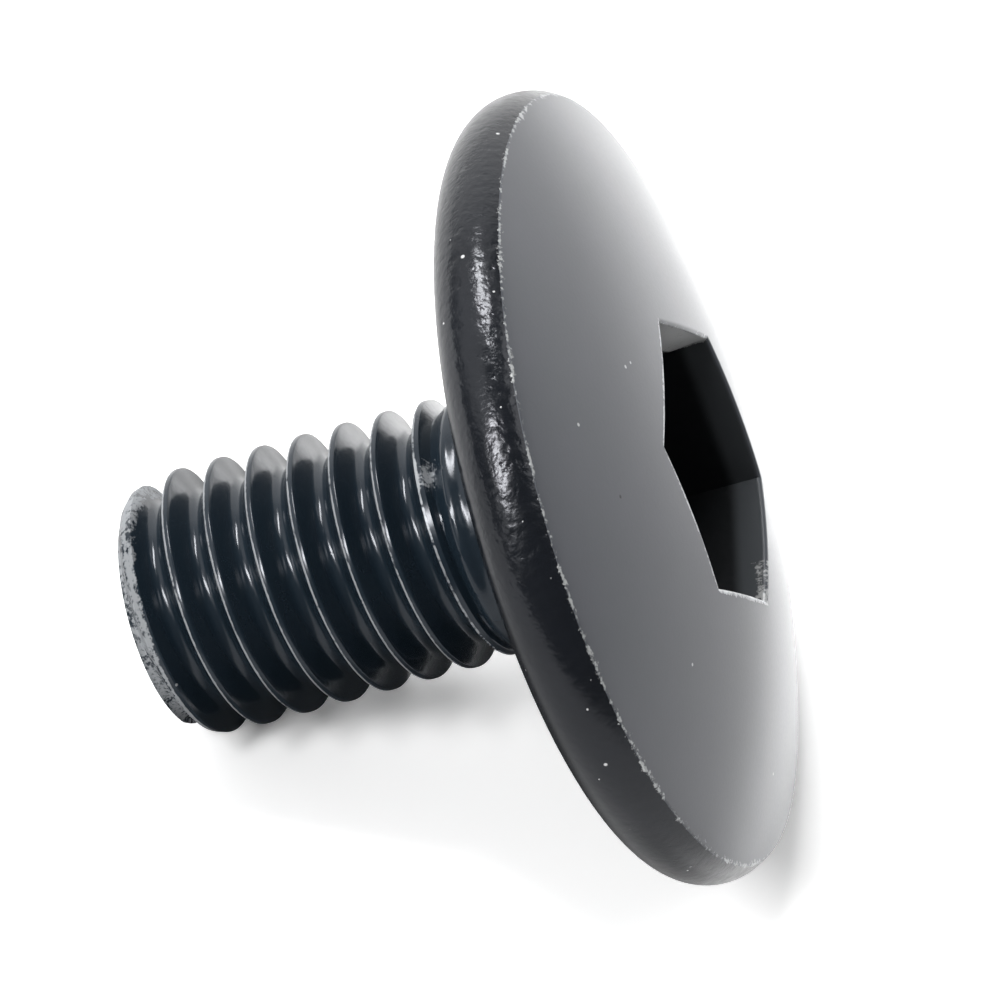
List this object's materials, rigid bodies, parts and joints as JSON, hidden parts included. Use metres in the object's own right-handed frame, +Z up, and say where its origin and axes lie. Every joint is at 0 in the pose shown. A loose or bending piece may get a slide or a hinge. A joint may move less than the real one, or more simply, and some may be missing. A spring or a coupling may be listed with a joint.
{
  "type": "machine screw",
  "caption": "Short machine screw with a wide, thin domed head, a rounded rim and a hexagon socket, lying on its rim and the edge of its tip.",
  "frame": {"origin": "centre of the overall box at floor level, where the rim of the head and the edge of the tip touch the floor", "axes": "+Z up; +Y across the screw, along the head's full diameter; the screw's own axis lies in the XZ plane, rising 30.6 degrees from the tip at -X to the head at +X"},
  "size_m": [0.0158, 0.018, 0.0158],
  "materials": {
    "black_steel": "black coated steel, satin, fine-grained on the dome and glossier on rim and thread"
  },
  "bodies": {
    "root": {"screw": "black_steel"}
  },
  "joints": []
}
